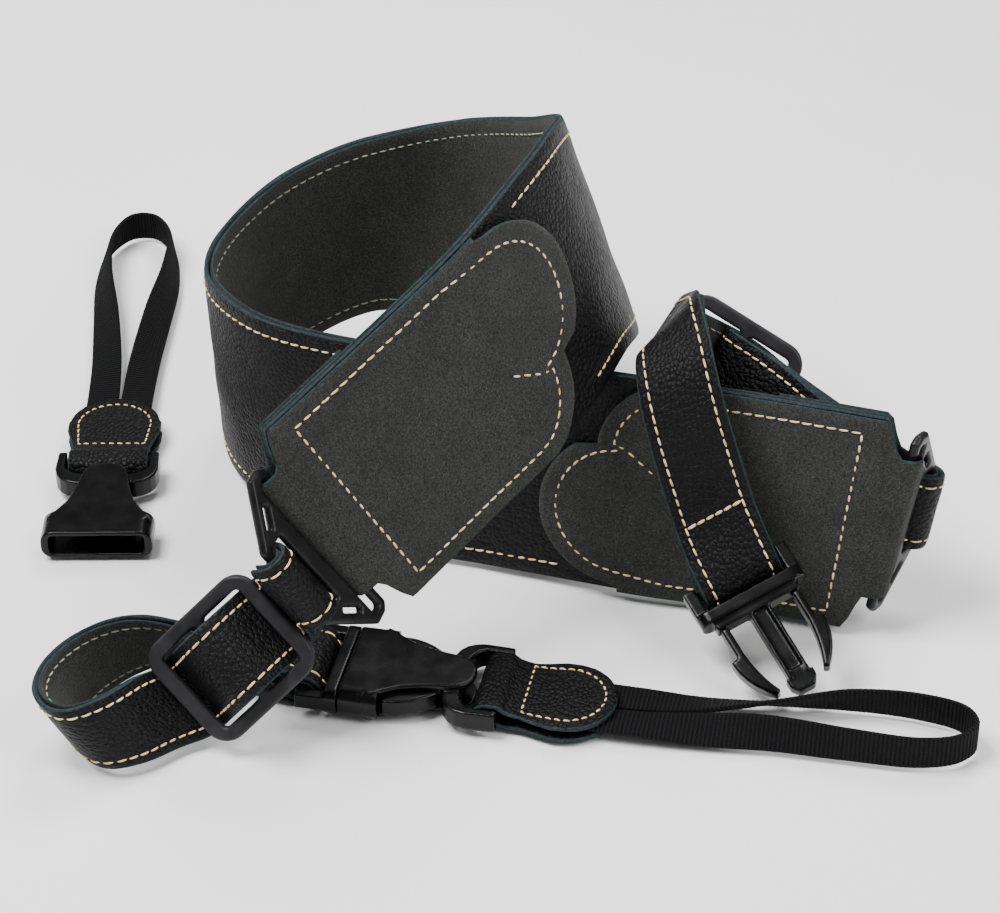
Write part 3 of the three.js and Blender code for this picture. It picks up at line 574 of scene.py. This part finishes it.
LEATHER = leather()
SUEDE = suede()
CUT_EDGE = cut_edge()
THREAD = thread()
GREY_THREAD = grey_thread()
WEBBING = webbing_weave()
# the front, the back and the rim of each kind of sheet
HIDE = [LEATHER, SUEDE, CUT_EDGE]
SPLIT = [SUEDE, SUEDE, CUT_EDGE]
TAB_HIDE = [LEATHER, LEATHER, CUT_EDGE]
TAPE = [WEBBING, WEBBING, WEBBING]
PLASTIC = moulded("black_plastic", rgb(5, 5, 6), rgb(10, 10, 11), 0.2, 0.3, 0.000008)
MATTE = moulded("grey_black_plastic", rgb(30, 29, 31), rgb(40, 39, 41), 0.4, 0.5, 0.00003)
RING_PLASTIC = moulded("satin_plastic", rgb(15, 15, 16), rgb(24, 23, 25), 0.26, 0.36, 0.000012)


# ---------------------------------------------------------------- camera, floor and light
def camera():
    data = bpy.data.cameras.new("camera")
    data.sensor_width = 36.0
    data.lens = 111.6
    data.clip_start = 0.01
    piece = bpy.data.objects.new("camera", data)
    bpy.context.scene.collection.objects.link(piece)
    piece.location = Vector((0.0, -0.79515, 0.57358)) + Vector(LAY_SHIFT * MM)
    piece.rotation_euler = Euler((math.radians(55), 0, 0))
    bpy.context.scene.camera = piece


def stage():
    n = Nodes("pale_floor")
    colour = n.mix(n.spread(n.noise(6.0), 0.3, 0.7), rgb(238, 238, 238), rgb(243, 243, 243))
    material = n.finish(Base_Color=colour, Roughness=0.9, Specular_IOR_Level=0.1)
    reach = 6.0
    corners = [(-reach, -reach, 0), (reach, -reach, 0), (reach, reach, 0), (-reach, reach, 0)]
    floor = new_mesh("floor", corners, [(0, 1, 2, 3)], [material], smooth=False)
    world = bpy.data.worlds.new("studio")
    world.use_nodes = True
    background = world.node_tree.nodes["Background"]
    background.inputs["Color"].default_value = (1, 1, 1, 1)
    background.inputs["Strength"].default_value = 0.25
    bpy.context.scene.world = world


def area_light(name, at, size, power):
    data = bpy.data.lights.new(name, "AREA")
    data.size = size
    data.energy = power
    piece = bpy.data.objects.new(name, data)
    bpy.context.scene.collection.objects.link(piece)
    piece.location = at
    piece.rotation_euler = (-Vector(at)).to_track_quat("-Z", "Y").to_euler()


camera()
stage()
area_light("key", (-0.55, -0.15, 1.1), 0.6, 27.0)
area_light("fill", (0.8, -0.5, 0.9), 0.7, 12.0)
area_light("rear", (0.35, 0.9, 1.4), 0.7, 18.0)


# ---------------------------------------------------------------- the neck strap
def constant(value):
    """A half width that is the same all along a strap."""
    return lambda d: np.full_like(np.asarray(d, float), value)


GROOVE_REACH = 0.9  # half the width of the groove along a stitch row
ROLL_DROP = 0.5  # how far a sheet's edge rolls down, and how far in from the edge
ROLL_REACH = 1.1


def stitched_relief(inset, sink, size, height, seed):
    """Sunk lines under the stitch rows, edges that roll down and a little unevenness."""
    def relief(d, aside, wide):
        from_edge = wide - np.abs(aside)
        line = -sink * np.exp(-((from_edge - inset) / GROOVE_REACH) ** 2)
        roll = -ROLL_DROP * np.exp(-from_edge / ROLL_REACH)
        places = np.stack([d + seed, aside, 0 * d], axis=1)
        return line + roll + wrinkles(places, size, height)
    return relief


def dress(piece, body, slot, *nodes):
    """The piece's body, its material slot, which is not used, and the CAD nodes it takes the place of,
    if any.
    """
    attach(piece, body)
    if nodes:
        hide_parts(*nodes)


def trimmed(from_fold, narrow):
    """Half the neck strap's width at a distance from the fold: its corners are cut off."""
    run = PATCH["square_from"] - PATCH["fold_from"]
    share = np.clip((from_fold - PATCH["fold_from"]) / run, 0, 1)
    return narrow + (NECK["width"] / 2 - narrow) * share * share * (3 - 2 * share)


neck = Route(NECK_ROUTE)
neck_cut = FOLD_INSET + BAR_WRAP + BAR_ROOM


def neck_half(d):
    return trimmed(np.minimum(d, neck.length - d) - FOLD_INSET, PATCH["fold"] - 1)


neck_span = dict(start=neck_cut, end=neck.length - neck_cut, half=neck_half, columns=40)
relief = stitched_relief(NECK["inset"], 0.3, 14, 0.35, 0)
piece = soft_sheet("neck_leather_hide", neck, GAP / 2 - PRESS, NECK_HIGH, materials=HIDE,
                   relief=relief, **neck_span)
dress(piece, "root", "leather", "neck_leather")
relief = stitched_relief(NECK["inset"], 0.25, 18, 0.3, 50)
piece = soft_sheet("neck_lining_suede", neck, NECK_LOW, -GAP / 2 + PRESS, materials=SPLIT,
                   relief=relief, **neck_span)
dress(piece, "root", "suede", "neck_lining")
seam_end = PATCH["length"] - 8
for name, side in (("upper", 1), ("lower", -1)):
    aside = side * (NECK["width"] / 2 - NECK["inset"])
    row = [[(d, aside) for d in np.arange(seam_end, neck.length - seam_end, 2.0)]]
    piece = stitch_rows(f"neck_stitches_{name}", neck, row, NECK_HIGH - PRESS, THREAD)
    dress(piece, "root", "thread", f"neck_thread_{name}")
    piece = stitch_rows(f"neck_inner_stitches_{name}", neck, row, NECK_LOW + PRESS, GREY_THREAD,
                        thick=INNER_THICK)
    dress(piece, "root", "thread")


# ---------------------------------------------------------------- end patches
def lobe_reach(aside, inset):
    """How far from the neck strap's end a lobe reaches, at a distance aside of the middle."""
    aside = np.asarray(aside, float)
    reach = []
    for lobe in (LOBE, LESSER):
        share = (aside - lobe["aside"]) / (lobe["wide"] - inset)
        reach.append(lobe["at"] + (lobe["long"] - inset) * np.sqrt(np.maximum(1 - share**2, 0)))
    return np.where(aside > PATCH["notch"], reach[0], reach[1])


def half_turn(at, ahead, out, across, radius, lead=3.6):
    """Stations round a bar, with a straight lead on either side of it."""
    leads = [-lead, -0.5]
    turn = [(along, radius) for along in leads]
    for k in range(7):
        angle = math.pi * k / 6
        turn.append((radius * math.sin(angle), radius * math.cos(angle)))
    turn += [(along, -radius) for along in leads[::-1]]
    return [station(at + ahead * along + out * up, across) for along, up in turn]


def neck_end(name, d):
    """Place, across, outer face and the way off the strap, at a distance from end a or b."""
    at, along, across, out = (v[0] for v in neck.frame(d if name == "a" else neck.length - d))
    return at, across, out, (-along if name == "a" else along)


def patch_route(name):
    """From the lobes over the outer layer, round the fold and back along the inner layer."""
    stations = []
    for d in (PATCH["length"], 100, 90, 80, 70, 60, 50, 40, 30, 20, FOLD_INSET + 5):
        at, across, out, _ = neck_end(name, d)
        stations.append(station(at + out * PATCH_FRONT, across))
    at, across, out, away = neck_end(name, FOLD_INSET)
    stations += half_turn(at + out * FOLD_HEIGHT, away, out, across, FOLD_RADIUS)
    for d in (FOLD_INSET + 5, 24, PATCH["back"]):
        at, across, out, _ = neck_end(name, d)
        stations.append(station(at + out * PATCH_BACK, across))
    return Route(stations)


def patch_seam():
    """The patch's closed row of stitches, as (distance from the neck strap's end, aside)."""
    edge = NECK["width"] / 2 - NECK["inset"]
    sides = np.arange(PATCH["square_end"], 72.1, 4.0)
    lobes = np.linspace(-29.4, 27.9, 60)
    row = [(d, -edge) for d in sides]
    row += [(float(lobe_reach(a, NECK["inset"])), a) for a in lobes]
    row += [(d, edge) for d in sides[::-1]]
    return row + [(PATCH["square_end"], a) for a in np.linspace(edge - 4, 4 - edge, 14)]


ring_bars = {}
for name in "ab":
    route = patch_route(name)
    at, across, out, away = neck_end(name, FOLD_INSET)
    fold_at = route.nearest(at + out * FOLD_HEIGHT + away * FOLD_RADIUS)
    side = 1 if name == "a" else -1  # the same patch at both ends, turned half round

    def patch_half(d, fold_at=fold_at):
        return trimmed(np.abs(d - fold_at) - FOLD_RADIUS * math.pi / 2, PATCH["fold"])

    def patch_cut(column, side=side):
        return PATCH["length"] - lobe_reach(side * column * NECK["width"] / 2, 0)

    thick = NECK["patch"] / 2
    piece = soft_sheet(f"end_patch_{name}_suede", route, -thick, thick, patch_half, SPLIT,
                       start_cut=patch_cut, reach=60, step=1.8, columns=64, rim=0.6,
                       relief=stitched_relief(NECK["inset"], 0.12, 11, 0.3, 90))
    dress(piece, "root", "suede", f"end_patch_{name}")
    from_start = fold_at + FOLD_INSET - FOLD_RADIUS * math.pi / 2
    outline = [(from_start - d, side * a) for d, a in patch_seam()]
    notch = side * (PATCH["notch"] + 0.6)
    inward = [(from_start - 84 + k, notch + side * 7 * k / 9) for k in range(10)]
    rows = [outline + outline[:1], inward]
    piece = stitch_rows(f"patch_stitches_{name}", route, rows, -side * (thick - PRESS), THREAD)
    dress(piece, "root", "thread", f"patch_thread_{name}")
    down = unit(across)
    ring_at = at + out * FOLD_HEIGHT + down * RING_SLIP[name]
    ring_bars[name] = (ring_at + square(RING_OUT[name], down) * RING_DEPTH, down)

# ---------------------------------------------------------------- the narrow straps
CROSS_SEAM = {"a": 40, "b": 66}  # from the strap's free end to the seam across it
REAR_LEG = [(6, -5.1), (10, -6.8), (15, -8.1), (22, -8.4)]
FRONT_LEG = [(20.8, -3.9), (15.4, -4.2), (12.4, -2.9), (9.2, 1.8), (5.9, 6.2), (3, 8.5), (0, 9.1)]
TWIST_SPAN = (12, 22.5)  # from the slide's bar, where the strap starts to turn to the ring's bar
TWIST = 0.7  # share of the turn made at the end of that span
SLIDE_LEAD = 2.8  # straight run beside the slide's bar


def round_bar(at, heading, across, lead=3.6):
    """A narrow strap's turn round a bar; the heading is squared to the bar first."""
    ahead = square(heading, across)
    return half_turn(at, ahead, np.cross(ahead, across), across, WRAP, lead)


def strap_route(slide, ring, free, male, heading, tail):
    """From the slide to the ring's bar and back, over the slide, then free to the male half's bar."""
    across = unit(slide["across"])
    to_ring = square(slide["to_ring"], across)
    out = np.cross(across, to_ring)
    middle = vec(slide["at"])

    ring_at, ring_across = ring
    ring_across = ring_across * np.sign(ring_across.dot(across))

    def on_slide(place):
        share = np.interp(place[0], TWIST_SPAN, (0.0, TWIST))
        at = middle + to_ring * place[0] + out * place[1]
        return station(at, across + (ring_across - across) * share)

    legs = middle + to_ring * REAR_LEG[-1][0] + out * -5
    stations = round_bar(middle, -to_ring, across, SLIDE_LEAD)
    stations += [on_slide(p) for p in REAR_LEG]
    stations += round_bar(ring_at, unit(ring_at - legs), ring_across)
    stations += [on_slide(p) for p in FRONT_LEG]
    stations += [on_slide((-along, up)) for along, up in FRONT_LEG[-2::-1]]
    stations += free
    stations += round_bar(vec(male["at"]), vec(heading), unit(male["bar"]))
    return Route(stations + tail, soften=STRAP_EASE)


strap_routes = {
    "a": strap_route(SLIDE_A, ring_bars["a"], LOOP_A, MALE_A, MALE_A["ahead"], TAIL_A),
    "b": strap_route(SLIDE_B, ring_bars["b"], LOOP_B, MALE_B, STRAP_B_DOWN, TAIL_B),
}
half = constant(STRAP["width"] / 2)
for name, route in strap_routes.items():
    relief = stitched_relief(STRAP["inset"], 0.2, 9, 0.18, 20)
    piece = soft_sheet(f"strap_{name}_hide", route, GAP / 2 - PRESS, STRAP_HIGH, half, HIDE, step=1.0,
                       columns=20, relief=relief)
    dress(piece, "root", "leather", f"strap_{name}_leather")
    relief = stitched_relief(STRAP["inset"], 0.15, 9, 0.12, 70)
    piece = soft_sheet(f"strap_{name}_suede", route, STRAP_LOW, -GAP / 2 + PRESS, half, SPLIT, step=1.0,
                       columns=20, relief=relief)
    dress(piece, "root", "suede", f"strap_{name}_lining")
    edge = STRAP["width"] / 2 - STRAP["inset"]
    rows = [[(d, s * edge) for d in np.arange(3, route.length - 3, 1.5)] for s in (-1, 1)]
    piece = stitch_rows(f"strap_{name}_stitches", route, rows, STRAP_HIGH - PRESS, THREAD)
    dress(piece, "root", "thread")
    cross_at = route.length - CROSS_SEAM[name]
    cross = [[(cross_at, a) for a in np.linspace(edge - 0.6, 0.6 - edge, 12)]]
    piece = stitch_rows(f"strap_{name}_cross_seam", route, cross, STRAP_HIGH - 0.05, THREAD, pitch=2.7,
                        long=2.9, thick=0.5)
    dress(piece, "root", "thread")
    piece = stitch_rows(f"strap_{name}_inner_stitches", route, rows, STRAP_LOW + PRESS, GREY_THREAD,
                        thick=INNER_THICK)
    dress(piece, "root", "thread")

# ---------------------------------------------------------------- tabs and webbing loops
TAB_INSET = 3.2  # from the tab's edge to its stitches
tab_middle = WEB["thick"] / 2 + GAP + TAB["thick"] / 2


def tab_route():
    """From one round end of the tab, round the female half's bar, to the other."""
    bend = BAR_WRAP + TAB["thick"] / 2
    layers = ((TAB["end"], tab_middle, 1), (66, tab_middle, 1), (54, tab_middle + 0.05, 1),
              (48, bend - 0.4, 0.6))

    def layer(sign):
        return [(x, 0, sign * height - drop * WEB["drop"], 0, 1, 0) for x, height, drop in layers]

    x, y, z = np.eye(3)
    turn = half_turn(np.array([TAB["bar_at"], 0, 0]), -x, z, y, bend)
    return Route(layer(1) + turn + layer(-1)[::-1])


def tab_cut(column):
    """How far the tab's round end is set back at a share of its half width."""
    radius = TAB["radius"]
    return radius - np.sqrt(np.maximum(radius**2 - (column * 0.985 * radius) ** 2, 0))


def webbing_route(middle):
    """Out of the tab in one lane, round the loop's middle and back into the tab in the other."""
    out, back = ([(x, side * WEB["lane"], -WEB["drop"], 0, -side, 0) for x in (WEB["start"], 70)]
                 for side in (-1, 1))
    return Route(out + middle + back[::-1])


def ribs(d, aside, wide):
    """The webbing's ribs, one every 1.25 mm."""
    return 0.07 * np.sin(2 * math.pi * d / 1.25)


mouth_a = vec(MALE_A["at"]) + MOUTH * vec(MALE_A["ahead"])
sockets = {
    "a": (mouth_a, MALE_A["ahead"], MALE_A["bar"], WEB_A, "root"),
    "b": (FEMALE_B["at"], FEMALE_B["ahead"], FEMALE_B["bar"], WEB_B, "tab_b"),
}
tab = tab_route()
inner = TAB["radius"] - TAB_INSET
angles = np.linspace(-0.47 * math.pi, 0.47 * math.pi, 24)
outline = [(TAB["radius"] - inner * math.cos(a), inner * math.sin(a)) for a in angles]
outline += [(26, a) for a in np.linspace(inner * 0.9, -inner * 0.9, 8)]
tab_rows = [outline + outline[:1]]


def tab_half(d):
    """Half the tab's width: it narrows from its round ends towards the bar."""
    from_end = np.minimum(d, tab.length - d)
    return TAB["radius"] + (TAB["half"] - TAB["radius"]) * np.clip((from_end - 17) / 9, 0, 1)


for name, (at, ahead, bar, web, body) in sockets.items():
    to_lay = basis(at, ahead, bar)
    half_thick = TAB["thick"] / 2
    piece = soft_sheet(f"tab_{name}_hide", tab, -half_thick, half_thick, tab_half, TAB_HIDE,
                       to_lay=to_lay, step=0.9, columns=28, start_cut=tab_cut, end_cut=tab_cut,
                       relief=stitched_relief(TAB_INSET, 0.12, 8, 0.15, 30))
    dress(piece, body, "leather", f"tab_{name}")
    outer = half_thick - PRESS
    for face, height, nodes in (("upper", outer, [f"tab_thread_{name}"]), ("lower", -outer, [])):
        piece = stitch_rows(f"tab_{name}_stitches_{face}", tab, tab_rows, height, THREAD,
                            to_lay=to_lay, pitch=2.6, long=2.0, thick=0.3)
        dress(piece, body, "thread", *nodes)
    half_thick = WEB["thick"] / 2
    piece = soft_sheet(f"webbing_{name}_tape", webbing_route(web), -half_thick, half_thick,
                       constant(WEB["width"] / 2), TAPE, to_lay=to_lay, step=0.31, columns=8, rim=0.6,
                       relief=ribs)
    dress(piece, body, "webbing", f"webbing_{name}")

# ---------------------------------------------------------------- moulded parts
VOXEL = 0.0003  # cell of the remeshed moulded parts, in metres
SMOOTH_PASSES = 12
bodies = {n: b for b, members in frame["record"]["behaviour"]["bodies"].items() for n in members}


def moulded_part(node, material, slot):
    """A moulded part's own shape with its corners and edges rounded as a mould leaves them."""
    data = frame["nodes"][node].data.copy()
    piece = bpy.data.objects.new(node + "_moulded", data)
    bpy.context.scene.collection.objects.link(piece)
    weld = piece.modifiers.new("weld", "WELD")
    weld.merge_threshold = 1e-6
    remesh = piece.modifiers.new("remesh", "REMESH")
    remesh.mode = "VOXEL"
    remesh.voxel_size = VOXEL
    ease = piece.modifiers.new("ease", "SMOOTH")
    ease.factor = 0.5
    ease.iterations = SMOOTH_PASSES
    bpy.context.view_layer.update()
    evaluated = piece.evaluated_get(bpy.context.evaluated_depsgraph_get())
    shaped = bpy.data.meshes.new_from_object(evaluated)
    piece.modifiers.clear()
    piece.data = shaped
    shaped.materials.clear()
    shaped.materials.append(material)
    shaped.polygons.foreach_set("use_smooth", np.full(len(shaped.polygons), True))
    dress(piece, bodies[node], slot, node)


for name in "ab":
    moulded_part(f"ring_{name}", RING_PLASTIC, "coated")
    moulded_part(f"slide_{name}", MATTE, "coated")
    for kind in ("male_buckle_{}", "latch_arm_{}_left", "latch_arm_{}_right", "female_buckle_{}"):
        moulded_part(kind.format(name), PLASTIC, "plastic")
